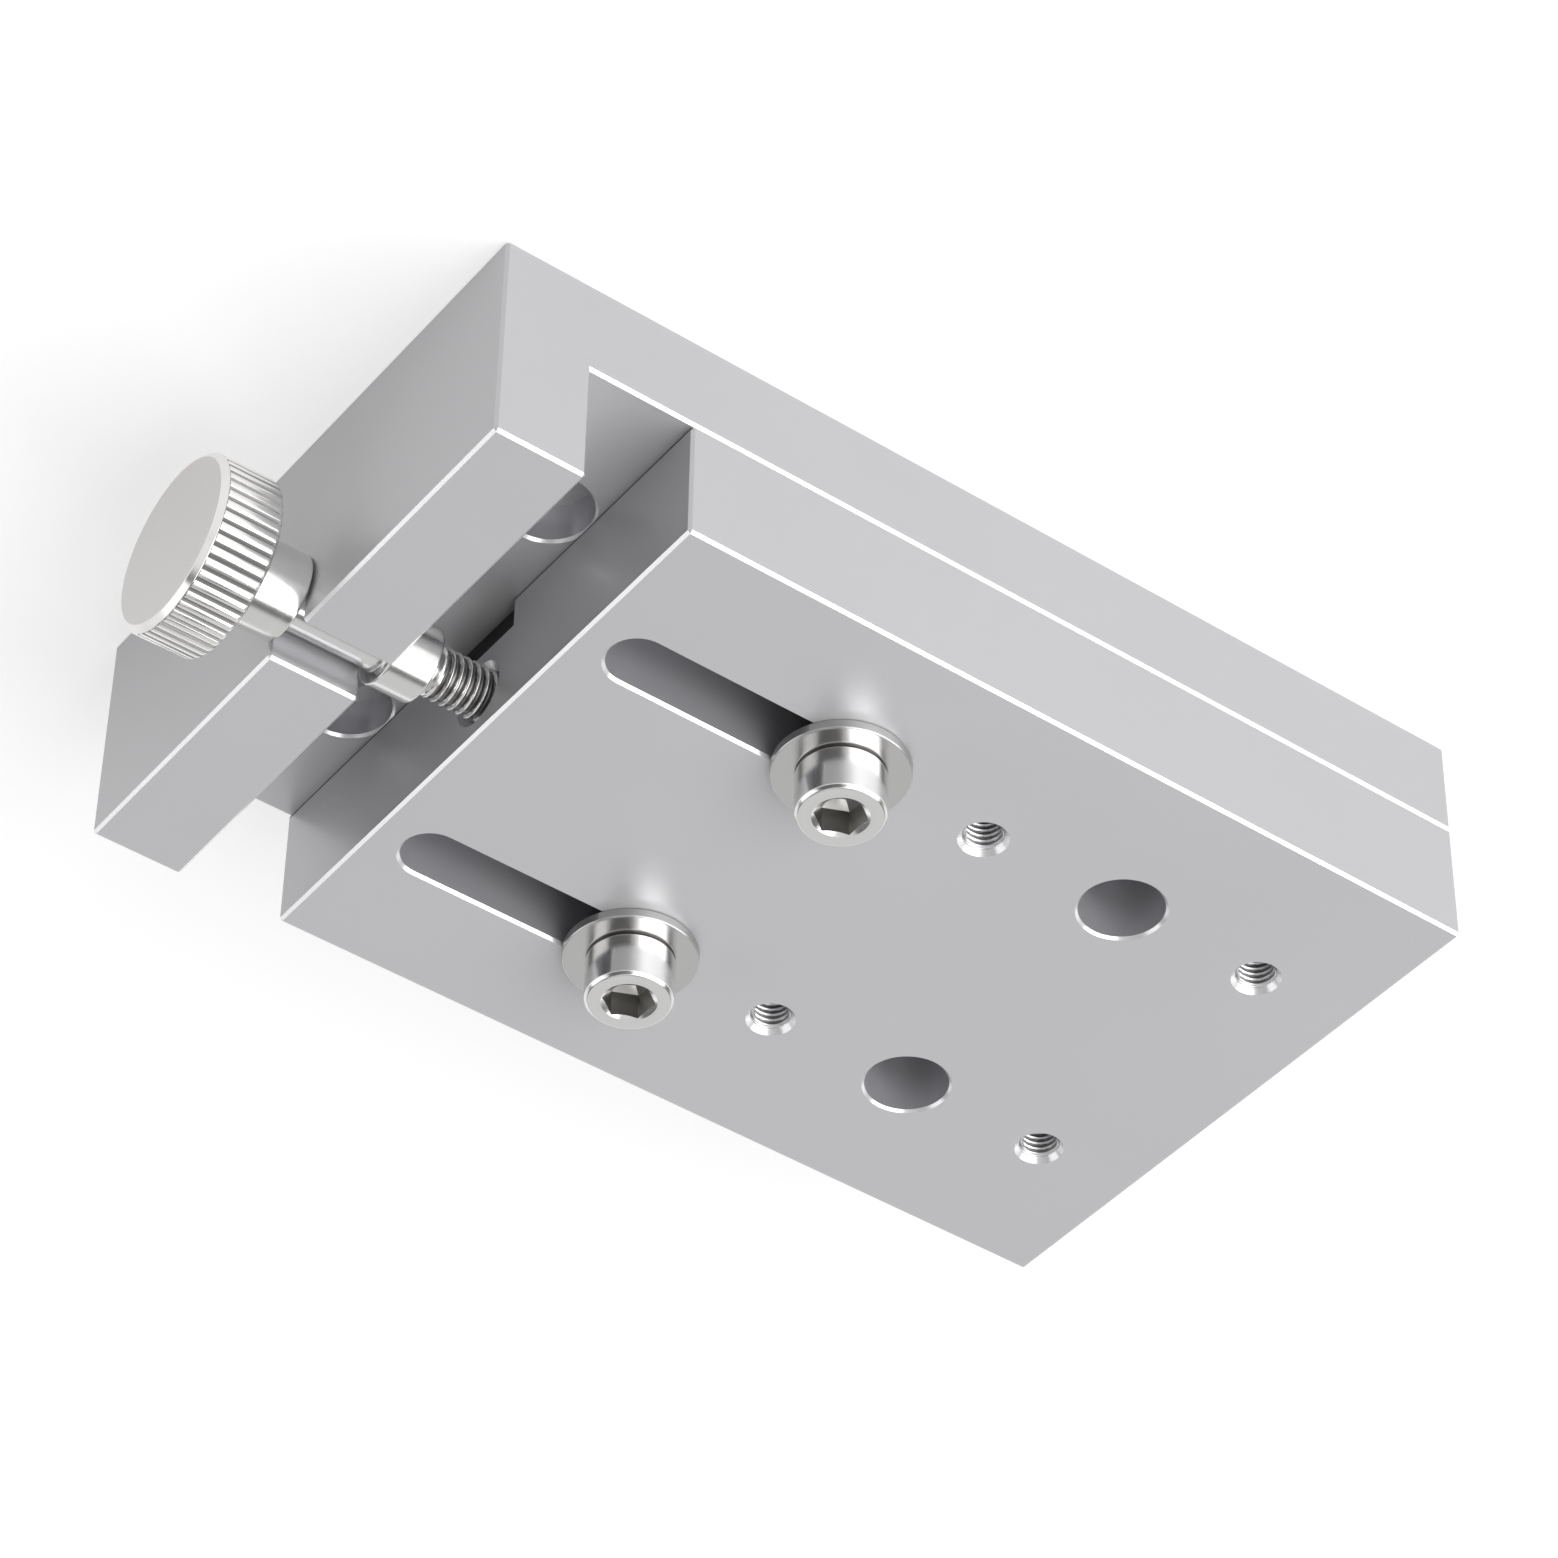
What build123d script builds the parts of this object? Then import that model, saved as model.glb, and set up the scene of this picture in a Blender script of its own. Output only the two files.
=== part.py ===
from build123d import *
import os

os.makedirs("parts", exist_ok=True)

# Manual linear stage. A slotted table slides along a key on an L-shaped base, drawn by a
# feed screw that turns in the base's leg, and two screws clamp it where it stands.
# Origin at the centre of the four mounting holes, on the base's underside. +X is the
# table's travel away from the knob, +Z is up through the table.

# Plates
stage_width = 50.0
stage_height = 18.0
base_length = 83.5
base_thickness = 8.0
leg_thickness = 7.2
table_length = 68.0
edge_break = 0.22
slide_gap = 0.02

# Holes that fasten the stage down, with recesses for M3 socket heads
mount_spacing_x = 50.0
mount_spacing_y = 25.0
mount_leg_distance = 12.5
mount_hole_radius = 1.7
head_recess_radius = 3.15
head_recess_depth = 3.4
recess_edge_break = 0.2

# M3 tapped holes that carry the work
work_spacing_x = 25.0
work_spacing_y = 25.0
work_end_distance = 8.5
work_thread_radius = 1.5
work_mouth_radius = 1.85

# Travel of the table from its place at rest
travel_out = 17.25
travel_back = 0.75

# Clamp: M4 socket screws and washers in two slots
clamp_leg_distance = 37.5
clamp_spacing_y = 25.0
clamp_thread_radius = 2.0
clamp_length = 16.0
clamp_head_radius = 3.25
clamp_head_height = 3.85
clamp_head_break = 0.25
clamp_socket_flats = 3.4
clamp_socket_depth = 2.2
clamp_socket_turn = 24.0
clamp_socket_mouth_radius = 2.05
clamp_socket_mouth_depth = 0.2
clamp_tap_mouth_radius = 2.3
slot_clearance = 0.25
slot_end_wall = 2.5
slot_edge_break = 0.22
washer_radius = 4.95
washer_thickness = 0.8
washer_bore_clearance = 0.15
washer_edge_break = 0.1

# Guide key, a black steel bar screwed to the base
key_width = 8.0
key_height = 2.6
key_inset = 0.7
key_side_clearance = 0.04
key_top_clearance = 0.2
key_edge_break = 0.2
key_screw_count = 3
key_screw_end_distance = 8.0
key_screw_radius = 1.25
key_screw_length = 8.0
key_screw_head_radius = 2.2
key_screw_head_rim = 0.2
key_screw_drill_spare = 1.0

# Feed screw, one turned piece with an M4 x 0.7 thread
screw_rise = 6.25
thread_radius = 2.0
thread_engagement = 7.25
thread_relief_radius = 1.9
thread_relief_length = 1.1
thread_mouth_radius = 2.55
thread_bore_spare = 2.0
neck_radius = 1.975
neck_clearance = 0.075
shoulder_radius = 3.25
shoulder_length = 4.45
shoulder_gap = 0.15
collar_radius = 2.9
collar_length = 3.3
collar_gap = 0.3
screw_edge_break = 0.15
spigot_radius = 2.5
spigot_length = 3.8

# Knob, straight knurled and pressed on the feed screw's spigot
knob_radius = 6.75
knurl_length = 4.4
knurl_count = 48
knurl_rib_radius = 0.33
knob_rim_radius = 6.7
knob_rim_length = 0.45
knob_bore_spare = 0.1

# A screw's thread is drawn as a plain shank this much inside its tapped hole
thread_clearance = 0.04

# Places that follow from the sizes above, from the knob along the screw to the far end
leg_outer_x = -(mount_leg_distance + mount_spacing_x / 2)
leg_inner_x = leg_outer_x + leg_thickness
shoulder_end_x = leg_outer_x - shoulder_gap
knob_inner_x = shoulder_end_x - shoulder_length
knurl_end_x = knob_inner_x - knurl_length
collar_start_x = leg_inner_x + collar_gap
collar_end_x = collar_start_x + collar_length
relief_end_x = collar_end_x + thread_relief_length
base_end_x = leg_outer_x + base_length
clamp_x = leg_outer_x + clamp_leg_distance
slot_radius = clamp_thread_radius + slot_clearance
table_start_x = clamp_x - travel_out - slot_radius - slot_end_wall
table_end_x = table_start_x + table_length
table_middle_x = (table_start_x + table_end_x) / 2
screw_end_x = table_start_x + travel_out + thread_engagement
work_x = table_end_x - work_end_distance - work_spacing_x / 2
key_start_x = table_start_x + key_inset
key_length = base_end_x - key_inset - key_start_x
key_middle_x = key_start_x + key_length / 2
key_screw_pitch = (key_length - 2 * key_screw_end_distance) / (key_screw_count - 1)

# Heights and fits that follow
table_bottom = base_thickness + slide_gap
table_thickness = stage_height - table_bottom
screw_height = base_thickness + screw_rise
neck_slot_radius = neck_radius + neck_clearance
groove_width = key_width + 2 * key_side_clearance
groove_depth = key_height + key_top_clearance - slide_gap

# Base: milled from one block, with a U-shaped slot in the leg that the screw drops into
with BuildPart() as base_plate:
    with BuildSketch(Plane.XZ) as base_profile:
        with BuildLine():
            Polyline(
                (leg_outer_x, 0),
                (base_end_x, 0),
                (base_end_x, base_thickness),
                (leg_inner_x, base_thickness),
                (leg_inner_x, stage_height),
                (leg_outer_x, stage_height),
                close=True,
            )
        make_face()
    extrude(amount=stage_width / 2, both=True)
    with BuildSketch(Plane.YZ.offset(leg_outer_x)) as neck_slot:
        with Locations((0, screw_height)):
            Circle(neck_slot_radius)
        with Locations((0, (screw_height + stage_height) / 2)):
            Rectangle(2 * neck_slot_radius, stage_height - screw_height)
    extrude(amount=leg_thickness, mode=Mode.SUBTRACT)
    inner_corner = base_plate.edges().filter_by(Axis.Y).filter_by_position(
        Axis.Z, base_thickness, base_thickness
    ).sort_by(Axis.X)[0]
    outer_faces = (
        base_plate.faces().filter_by(Axis.X)
        + base_plate.faces().filter_by(Axis.Z)
        + base_plate.faces().filter_by(Axis.Y).filter_by(
            lambda face: abs(face.center().Y) > neck_slot_radius
        )
    )
    outer_edges = ShapeList({edge for face in outer_faces for edge in face.edges()})
    chamfer(outer_edges.filter_by(lambda edge: edge != inner_corner), edge_break)
    with Locations(Plane.XY.offset(base_thickness)):
        with GridLocations(mount_spacing_x, mount_spacing_y, 2, 2):
            CounterBoreHole(mount_hole_radius, head_recess_radius, head_recess_depth)
    recess_edges = base_plate.edges().filter_by(GeomType.CIRCLE).filter_by(
        lambda edge: edge.radius == head_recess_radius and edge.center().Z > base_thickness - edge_break
    )
    chamfer(recess_edges, recess_edge_break)
    with Locations(Plane((clamp_x, 0, base_thickness))):
        with GridLocations(0, clamp_spacing_y, 1, 2):
            CounterSinkHole(clamp_thread_radius, clamp_tap_mouth_radius)
    with Locations(Plane((key_middle_x, 0, base_thickness))):
        with GridLocations(key_screw_pitch, 0, key_screw_count, 1) as key_screw_places:
            Hole(key_screw_radius, key_screw_length - key_height + key_screw_drill_spare)
base_plate.part.label = "base_plate"
export_step(base_plate.part, "parts/base_plate.step")

# Table: a flat plate with a groove for the key, slots for the clamp and a tapped end
with BuildPart() as table_plate:
    with BuildSketch(Plane.XY.offset(table_bottom)) as table_outline:
        with Locations((table_middle_x, 0)):
            Rectangle(table_length, stage_width)
    extrude(amount=table_thickness)
    chamfer(table_plate.edges(), edge_break)
    with BuildSketch(Plane.XY.offset(table_bottom)) as key_groove:
        with Locations((table_middle_x, 0)):
            Rectangle(table_length, groove_width)
    extrude(amount=groove_depth, mode=Mode.SUBTRACT)
    with BuildSketch(Plane.XY.offset(table_bottom)) as clamp_slots:
        with Locations((clamp_x + (travel_back - travel_out) / 2, 0)):
            with GridLocations(0, clamp_spacing_y, 1, 2):
                SlotCenterToCenter(travel_out + travel_back, 2 * slot_radius)
    extrude(amount=table_thickness, mode=Mode.SUBTRACT)
    slot_edges = table_plate.faces().sort_by(Axis.Z)[-1].inner_wires().edges()
    chamfer(slot_edges, slot_edge_break)
    with Locations(Plane((work_x, 0, stage_height))):
        with GridLocations(work_spacing_x, work_spacing_y, 2, 2):
            CounterSinkHole(work_thread_radius, work_mouth_radius)
    with Locations(Plane((mount_spacing_x / 2, 0, stage_height))):
        with GridLocations(0, mount_spacing_y, 1, 2):
            Hole(head_recess_radius)
    access_edges = table_plate.edges().filter_by(GeomType.CIRCLE).filter_by(
        lambda edge: edge.radius == head_recess_radius
    )
    chamfer(access_edges, recess_edge_break)
    with Locations(Plane((table_start_x, 0, screw_height), x_dir=(0, 1, 0), z_dir=(-1, 0, 0))):
        CounterSinkHole(
            thread_radius,
            thread_mouth_radius,
            screw_end_x - table_start_x + travel_back + thread_bore_spare,
        )
table_plate.part.label = "table_plate"
export_step(table_plate.part, "parts/table_plate.step")

# Guide key: countersunk for its screws, with its top edges broken to clear the groove
with BuildPart() as guide_key:
    with BuildSketch(Plane.XY.offset(base_thickness)) as key_outline:
        with Locations((key_middle_x, 0)):
            Rectangle(key_length, key_width)
    extrude(amount=key_height)
    chamfer(guide_key.faces().sort_by(Axis.Z)[-1].edges(), key_edge_break)
    with Locations(Plane((key_middle_x, 0, base_thickness + key_height))):
        with GridLocations(key_screw_pitch, 0, key_screw_count, 1):
            CounterSinkHole(key_screw_radius, key_screw_head_radius)
guide_key.part.label = "guide_key"
export_step(guide_key.part, "parts/guide_key.step")

# Key screws: M2.5 countersunk, flush below the key's top face
key_screw_tip = base_thickness + key_height - key_screw_length
key_screw_shank_radius = key_screw_radius - thread_clearance
key_screw_cone_radius = key_screw_head_radius - thread_clearance
key_screw_head_top = base_thickness + key_height - key_screw_head_rim
for index, place in enumerate(key_screw_places.locations, start=1):
    screw_x = place.position.X
    with BuildPart() as key_screw:
        with BuildSketch(Plane((screw_x, 0, 0), x_dir=(1, 0, 0), z_dir=(0, -1, 0))) as key_screw_profile:
            with BuildLine():
                Polyline(
                    (0, key_screw_tip),
                    (key_screw_shank_radius, key_screw_tip),
                    (
                        key_screw_shank_radius,
                        key_screw_head_top - key_screw_cone_radius + key_screw_shank_radius
                        + key_screw_head_rim,
                    ),
                    (key_screw_cone_radius - key_screw_head_rim, key_screw_head_top),
                    (0, key_screw_head_top),
                    close=True,
                )
            make_face()
        revolve(axis=Axis((screw_x, 0, 0), (0, 0, 1)))
    key_screw.part.label = f"guide_key_screw_{index}"
    export_step(key_screw.part, f"parts/guide_key_screw_{index}.step")

# Feed screw: shoulder and collar trap the leg between them, and the thread draws the table
screw_plane = Plane((0, 0, screw_height), x_dir=(1, 0, 0), z_dir=(0, -1, 0))
screw_axis = Axis((0, 0, screw_height), (1, 0, 0))
with BuildPart() as feed_screw:
    with BuildSketch(screw_plane) as feed_screw_profile:
        with BuildLine():
            Polyline(
                (knob_inner_x - spigot_length, 0),
                (knob_inner_x - spigot_length, spigot_radius),
                (knob_inner_x, spigot_radius),
                (knob_inner_x, shoulder_radius),
                (shoulder_end_x - screw_edge_break, shoulder_radius),
                (shoulder_end_x, shoulder_radius - screw_edge_break),
                (shoulder_end_x, neck_radius),
                (collar_start_x, neck_radius),
                (collar_start_x, collar_radius - screw_edge_break),
                (collar_start_x + screw_edge_break, collar_radius),
                (collar_end_x - screw_edge_break, collar_radius),
                (collar_end_x, collar_radius - screw_edge_break),
                (collar_end_x, thread_relief_radius),
                (relief_end_x, thread_relief_radius),
                (relief_end_x, thread_radius - thread_clearance),
                (screw_end_x - edge_break, thread_radius - thread_clearance),
                (screw_end_x, thread_radius - thread_clearance - edge_break),
                (screw_end_x, 0),
                close=True,
            )
        make_face()
    revolve(axis=screw_axis)
feed_screw.part.label = "feed_screw"
export_step(feed_screw.part, "parts/feed_screw.step")

# Knob: rounded ribs run up to a bevelled rim, and a blind bore takes the spigot
with BuildPart() as knurled_knob:
    with BuildSketch(Plane((knob_inner_x, 0, screw_height), x_dir=(0, 1, 0), z_dir=(-1, 0, 0))) as knurl:
        Circle(knob_radius - knurl_rib_radius)
        with PolarLocations(knob_radius - knurl_rib_radius, knurl_count):
            Circle(knurl_rib_radius)
    extrude(amount=knurl_length)
    with BuildSketch(screw_plane) as rim_profile:
        with BuildLine():
            Polyline(
                (knurl_end_x, 0),
                (knurl_end_x, knob_rim_radius),
                (knurl_end_x - knob_rim_length, knob_rim_radius - knob_rim_length),
                (knurl_end_x - knob_rim_length, 0),
                close=True,
            )
        make_face()
    revolve(axis=screw_axis)
    with Locations(Plane((knob_inner_x, 0, screw_height), x_dir=(0, 1, 0), z_dir=(1, 0, 0))):
        Hole(spigot_radius, spigot_length + knob_bore_spare)
knurled_knob.part.label = "knurled_knob"
export_step(knurled_knob.part, "parts/knurled_knob.step")

# Clamp screws and washers, one pair in each slot
washer_bottom = stage_height
washer_top = washer_bottom + washer_thickness
clamp_head_top = washer_top + clamp_head_height
clamp_shank_radius = clamp_thread_radius - thread_clearance
for side, clamp_y in (("left", clamp_spacing_y / 2), ("right", -clamp_spacing_y / 2)):
    clamp_axis = Axis((clamp_x, clamp_y, 0), (0, 0, 1))
    with BuildPart() as clamp_screw:
        with BuildSketch(Plane((clamp_x, clamp_y, 0), x_dir=(1, 0, 0), z_dir=(0, -1, 0))) as clamp_profile:
            with BuildLine():
                Polyline(
                    (0, washer_top - clamp_length),
                    (clamp_shank_radius - edge_break, washer_top - clamp_length),
                    (clamp_shank_radius, washer_top - clamp_length + edge_break),
                    (clamp_shank_radius, washer_top),
                    (clamp_head_radius, washer_top),
                    (clamp_head_radius, clamp_head_top - clamp_head_break),
                    (clamp_head_radius - clamp_head_break, clamp_head_top),
                    (0, clamp_head_top),
                    close=True,
                )
            make_face()
        revolve(axis=clamp_axis)
        with BuildSketch(Plane((clamp_x, clamp_y, clamp_head_top))) as clamp_socket:
            RegularPolygon(clamp_socket_flats / 2, 6, major_radius=False, rotation=clamp_socket_turn)
        extrude(amount=-clamp_socket_depth, mode=Mode.SUBTRACT)
        with Locations((clamp_x, clamp_y, clamp_head_top)):
            Cone(
                clamp_socket_flats / 2,
                clamp_socket_mouth_radius,
                clamp_socket_mouth_depth,
                align=(Align.CENTER, Align.CENTER, Align.MAX),
                mode=Mode.SUBTRACT,
            )
    clamp_screw.part.label = f"clamp_screw_{side}"
    export_step(clamp_screw.part, f"parts/clamp_screw_{side}.step")

    with BuildPart() as clamp_washer:
        with BuildSketch(Plane((clamp_x, clamp_y, washer_bottom))) as washer_outline:
            Circle(washer_radius)
            Circle(clamp_thread_radius + washer_bore_clearance, mode=Mode.SUBTRACT)
        extrude(amount=washer_thickness)
        chamfer(clamp_washer.edges().filter_by(GeomType.CIRCLE), washer_edge_break)
    clamp_washer.part.label = f"clamp_washer_{side}"
    export_step(clamp_washer.part, f"parts/clamp_washer_{side}.step")
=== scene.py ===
import math

import bmesh
import bpy
import numpy as np
from mathutils import Matrix, Vector


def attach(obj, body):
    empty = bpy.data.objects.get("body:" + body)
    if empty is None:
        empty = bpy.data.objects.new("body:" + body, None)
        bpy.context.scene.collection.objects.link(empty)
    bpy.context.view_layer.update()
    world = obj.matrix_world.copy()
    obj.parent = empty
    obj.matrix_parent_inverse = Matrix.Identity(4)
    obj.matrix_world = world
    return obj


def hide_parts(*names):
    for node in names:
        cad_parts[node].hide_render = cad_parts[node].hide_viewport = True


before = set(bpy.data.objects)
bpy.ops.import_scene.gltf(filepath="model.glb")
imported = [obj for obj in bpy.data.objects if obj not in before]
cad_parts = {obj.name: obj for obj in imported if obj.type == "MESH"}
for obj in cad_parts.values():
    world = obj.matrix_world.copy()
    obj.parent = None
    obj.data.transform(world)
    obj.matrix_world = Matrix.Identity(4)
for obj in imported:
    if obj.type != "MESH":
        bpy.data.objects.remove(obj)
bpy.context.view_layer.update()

# Base plate: one L-shaped block of aluminium, milled, finely blasted and clear anodised.
# Its upright leg carries the feed screw, and its broken edges were cut bright afterwards.
# The stage's sizes and places are in millimetres, which times mm are metres.
mm = 0.001
leg_outer, leg_inner, plate_end, plate_side = -37.5, -30.3, 46.0, 25.0
base_top, leg_top = 8.0, 18.0
leg_slot_half = 2.05
anodised_dark, anodised_light = (0.55, 0.55, 0.562), (0.60, 0.60, 0.613)
anodised_sharpest, anodised_bluntest = 0.33, 0.40
cut_colour, cut_rough = (0.82, 0.82, 0.83), 0.22
grain_height = 0.01 * mm


def add_node(nodes, kind, values=None, **settings):
    """A node with its settings, such as its operation, and then the values of its sockets."""
    node = nodes.new(kind)
    for name, setting in settings.items():
        setattr(node, name, setting)
    for socket, value in (values or {}).items():
        node.inputs[socket].default_value = value
    return node


def new_group(name, inputs, outputs):
    """An empty group of nodes, with plain numbers for its inputs and outputs."""
    group = bpy.data.node_groups.new(name, "ShaderNodeTree")
    for socket, value in inputs.items():
        made = group.interface.new_socket(socket, in_out="INPUT", socket_type="NodeSocketFloat")
        made.default_value = value
    for socket in outputs:
        group.interface.new_socket(socket, in_out="OUTPUT", socket_type="NodeSocketFloat")
    return group, group.nodes, group.links


def blasted_grain():
    """Group: the fine, even grain that blasting leaves under a clear anodised layer.

    Height is a noise with 1 / Grain Scale metres from grain to grain. Tone is a slow cloudiness
    over the piece with about a third of the same grain in it. Both run from 0 to 1.
    """
    inputs = {"Grain Scale": 24000.0, "Cloud Scale": 45.0}
    group, nodes, links = new_group("blasted_grain", inputs, ("Height", "Tone"))
    source = nodes.new("NodeGroupInput")
    result = nodes.new("NodeGroupOutput")
    place = nodes.new("ShaderNodeTexCoord")
    grain = add_node(nodes, "ShaderNodeTexNoise", {"Detail": 3.0, "Roughness": 0.6})
    drift = add_node(nodes, "ShaderNodeTexNoise", {"Detail": 2.0, "Roughness": 0.5})
    blend = add_node(nodes, "ShaderNodeMix", {"Factor": 0.35})
    links.new(place.outputs["Object"], grain.inputs["Vector"])
    links.new(place.outputs["Object"], drift.inputs["Vector"])
    links.new(source.outputs["Grain Scale"], grain.inputs["Scale"])
    links.new(source.outputs["Cloud Scale"], drift.inputs["Scale"])
    links.new(drift.outputs["Fac"], blend.inputs["A"])
    links.new(grain.outputs["Fac"], blend.inputs["B"])
    links.new(grain.outputs["Fac"], result.inputs["Height"])
    links.new(blend.outputs["Result"], result.inputs["Tone"])
    return group


def cut_edge():
    """Group: Mask is 1 on faces that lean at 45 degrees to the plate's top, and 0 elsewhere.

    The upward part of a broken edge's normal is 0.71, so the mask rises between 0.45 and 0.6
    and falls again between 0.8 and 0.95.
    """
    group, nodes, links = new_group("cut_edge", {}, ("Mask",))
    result = nodes.new("NodeGroupOutput")
    face = nodes.new("ShaderNodeNewGeometry")
    split = nodes.new("ShaderNodeSeparateXYZ")
    lean = add_node(nodes, "ShaderNodeMath", operation="ABSOLUTE")
    rise = add_node(nodes, "ShaderNodeMapRange", {"From Min": 0.45, "From Max": 0.6})
    fall = add_node(nodes, "ShaderNodeMapRange", {"From Min": 0.95, "From Max": 0.8})
    both = add_node(nodes, "ShaderNodeMath", operation="MULTIPLY")
    links.new(face.outputs["Normal"], split.inputs["Vector"])
    links.new(split.outputs["Z"], lean.inputs[0])
    links.new(lean.outputs["Value"], rise.inputs["Value"])
    links.new(lean.outputs["Value"], fall.inputs["Value"])
    links.new(rise.outputs["Result"], both.inputs[0])
    links.new(fall.outputs["Result"], both.inputs[1])
    links.new(both.outputs["Value"], result.inputs["Mask"])
    return group


def bored_wall():
    """Group: Mask is 1 on the upright faces inside a box, which are the walls of holes and slots.

    The box reaches from Low X to High X, Half Width to either side and up to High Z, in metres.
    A face is upright where the upward part of its normal is under 0.4.
    """
    inputs = {"Low X": 0.0, "High X": 0.0, "Half Width": 0.0, "High Z": 0.0}
    group, nodes, links = new_group("bored_wall", inputs, ("Mask",))
    source = nodes.new("NodeGroupInput")
    result = nodes.new("NodeGroupOutput")
    place = nodes.new("ShaderNodeTexCoord")
    spot = nodes.new("ShaderNodeSeparateXYZ")
    aside = add_node(nodes, "ShaderNodeMath", operation="ABSOLUTE")
    face = nodes.new("ShaderNodeNewGeometry")
    lean = nodes.new("ShaderNodeSeparateXYZ")
    upward = add_node(nodes, "ShaderNodeMath", operation="ABSOLUTE")
    upright = add_node(nodes, "ShaderNodeMath", {1: 0.4}, operation="LESS_THAN")
    links.new(place.outputs["Object"], spot.inputs["Vector"])
    links.new(spot.outputs["Y"], aside.inputs[0])
    links.new(face.outputs["Normal"], lean.inputs["Vector"])
    links.new(lean.outputs["Z"], upward.inputs[0])
    links.new(upward.outputs["Value"], upright.inputs[0])
    mask = upright.outputs["Value"]
    for kind, value, limit in (
        ("GREATER_THAN", spot.outputs["X"], "Low X"),
        ("LESS_THAN", spot.outputs["X"], "High X"),
        ("LESS_THAN", aside.outputs["Value"], "Half Width"),
        ("LESS_THAN", spot.outputs["Z"], "High Z"),
    ):
        test = add_node(nodes, "ShaderNodeMath", operation=kind)
        both = add_node(nodes, "ShaderNodeMath", operation="MULTIPLY")
        links.new(value, test.inputs[0])
        links.new(source.outputs[limit], test.inputs[1])
        links.new(mask, both.inputs[0])
        links.new(test.outputs["Value"], both.inputs[1])
        mask = both.outputs["Value"]
    links.new(mask, result.inputs["Mask"])
    return group


grain_group = blasted_grain()
edge_group = cut_edge()
bore_group = bored_wall()


def new_finish(name, metallic):
    """A material, the nodes and links in it, and its shader, which is more or less metallic."""
    material = bpy.data.materials.new(name)
    material.use_nodes = True
    nodes, links = material.node_tree.nodes, material.node_tree.links
    metal = nodes["Principled BSDF"]
    metal.inputs["Metallic"].default_value = metallic
    return material, nodes, links, metal


def blend_by_tone(nodes, links, tone, dark, light, sharpest, bluntest):
    """A colour that goes from dark to light, and a roughness that goes from sharpest to
    bluntest, evenly as the tone goes from 0 to 1.
    """
    colours = {"A": (*dark, 1), "B": (*light, 1)}
    colour = add_node(nodes, "ShaderNodeMix", colours, data_type="RGBA")
    rough = add_node(nodes, "ShaderNodeMapRange", {"To Min": sharpest, "To Max": bluntest})
    links.new(tone, colour.inputs["Factor"])
    links.new(tone, rough.inputs["Value"])
    return colour.outputs["Result"], rough.outputs["Result"]


def change_where(nodes, links, mask, old, kind, new):
    """The old value where the mask is 0, and the new one where it is 1."""
    mix = add_node(nodes, "ShaderNodeMix", {"B": new}, data_type=kind)
    links.new(mask, mix.inputs["Factor"])
    links.new(old, mix.inputs["A"])
    return mix.outputs["Result"]


def raise_marks(nodes, links, height, metal, strength, distance):
    """Fine relief on the metal, which stands `distance` metres high where the height is 1."""
    bump = add_node(nodes, "ShaderNodeBump", {"Strength": strength, "Distance": distance})
    links.new(height, bump.inputs["Height"])
    links.new(bump.outputs["Normal"], metal.inputs["Normal"])


def satin_aluminium(name, patches):
    """Clear anodised aluminium: a blurred metal, brighter where an edge was cut. Each patch is a
    box, given as bored_wall takes it but in millimetres, whose upright faces have another
    colour and roughness.
    """
    material, nodes, links, metal = new_finish(name, 0.5)
    grain = add_node(nodes, "ShaderNodeGroup", node_tree=grain_group)
    edge = add_node(nodes, "ShaderNodeGroup", node_tree=edge_group)
    colour, rough = blend_by_tone(
        nodes, links, grain.outputs["Tone"],
        anodised_dark, anodised_light, anodised_sharpest, anodised_bluntest,
    )
    areas = []
    for box, patch_colour, patch_rough in patches:
        sides = zip(("Low X", "High X", "Half Width", "High Z"), box)
        limits = {side: place * mm for side, place in sides}
        bore = add_node(nodes, "ShaderNodeGroup", limits, node_tree=bore_group)
        areas.append((bore.outputs["Mask"], patch_colour, patch_rough))
    areas.append((edge.outputs["Mask"], cut_colour, cut_rough))
    for mask, area_colour, area_rough in areas:
        colour = change_where(nodes, links, mask, colour, "RGBA", (*area_colour, 1))
        rough = change_where(nodes, links, mask, rough, "FLOAT", area_rough)
    links.new(colour, metal.inputs["Base Color"])
    links.new(rough, metal.inputs["Roughness"])
    raise_marks(nodes, links, grain.outputs["Height"], metal, 0.12, grain_height)
    return material


def finish_node(name, material):
    """Gives a solid from the frame its finish, in every material slot it has."""
    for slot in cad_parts[name].material_slots:
        slot.material = material


# Blasting doesn't reach into holes and slots: their walls keep the cutter's finish. The first
# box stays a little inside the plate, and so leaves out the plate's own sides.
bored_colour, bored_rough = (0.575, 0.575, 0.60), 0.20
leg_slot_colour = (0.50, 0.50, 0.52)
screw_holes_box = (leg_outer + 0.3, plate_end - 0.3, plate_side - 0.4, base_top - 0.15)
leg_slot_box = (leg_outer + 0.1, leg_inner - 0.1, leg_slot_half + 0.25, leg_top + 1.0)
base_aluminium = satin_aluminium(
    "base_aluminium",
    ((screw_holes_box, bored_colour, bored_rough), (leg_slot_box, leg_slot_colour, bored_rough)),
)
finish_node("base_plate", base_aluminium)

# Guide key and its three screws: steel with a black oxide finish. The key is a ground bar,
# sunk in the table's groove, and the screws hold it down on the base.


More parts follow.
